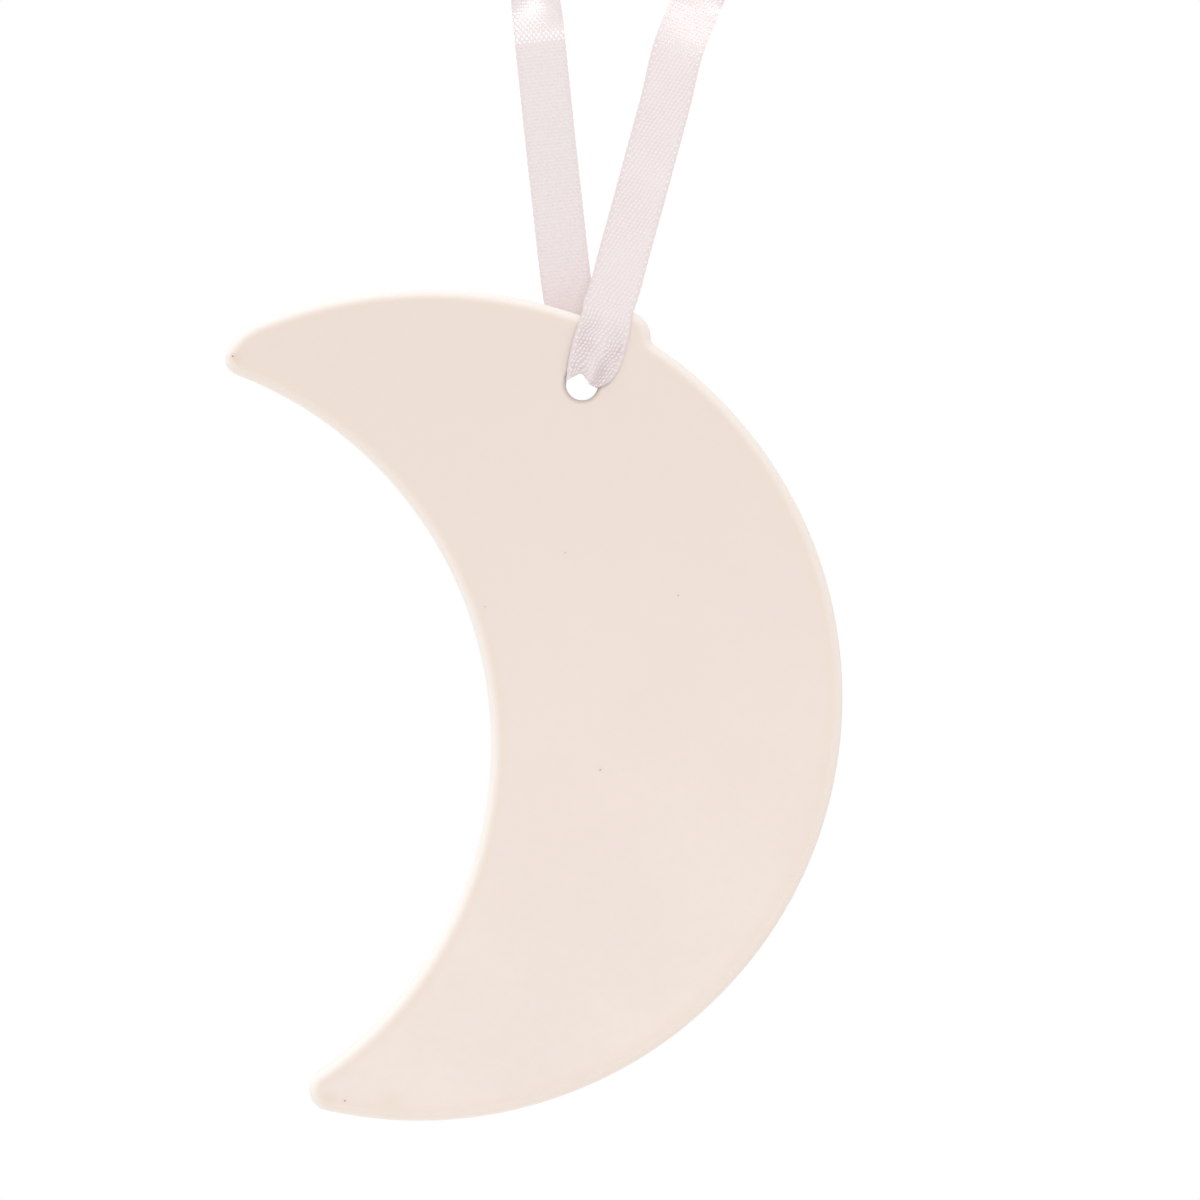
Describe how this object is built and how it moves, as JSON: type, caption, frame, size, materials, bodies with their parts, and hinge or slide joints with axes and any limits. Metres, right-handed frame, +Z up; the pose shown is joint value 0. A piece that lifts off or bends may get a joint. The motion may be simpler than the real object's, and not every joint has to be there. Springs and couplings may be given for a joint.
{
  "type": "ceramic wall plaque",
  "caption": "Flat crescent of pale bisque ceramic with a small lug and a round hole near its top edge, hung from a knotted loop of narrow satin ribbon.",
  "frame": {"origin": "the inside top of the ribbon loop, where a round peg or knob carries it, in the middle of the ribbon's width", "axes": "+Z up along the plaque's height, +X to the right seen from the front, the front faces -Y and the back rests against a wall on the +Y side"},
  "size_m": [0.0777, 0.0084, 0.1855],
  "materials": {
    "bisque_ceramic": "fine unglazed bisque, softly matt, pale cream with a faint warm tint at the edges",
    "satin_ribbon": "pale pink satin weave with a sheen on its face and a duller ribbed back"
  },
  "bodies": {
    "ribbon": {"ribbon_through_hole": "satin_ribbon", "ribbon_front_leg": "satin_ribbon", "ribbon_back_leg": "satin_ribbon", "ribbon_knot": "satin_ribbon", "ribbon_tail_left": "satin_ribbon", "ribbon_tail_right": "satin_ribbon"},
    "plaque": {"plaque_body": "bisque_ceramic"}
  },
  "joints": [
    {"name": "plaque_swing", "type": "hinge", "parent": "ribbon", "child": "plaque", "pos_m": [-0.00566, 0, -0.0753], "axis": [0, 1, 0], "range_deg": [-35, 35]}
  ]
}
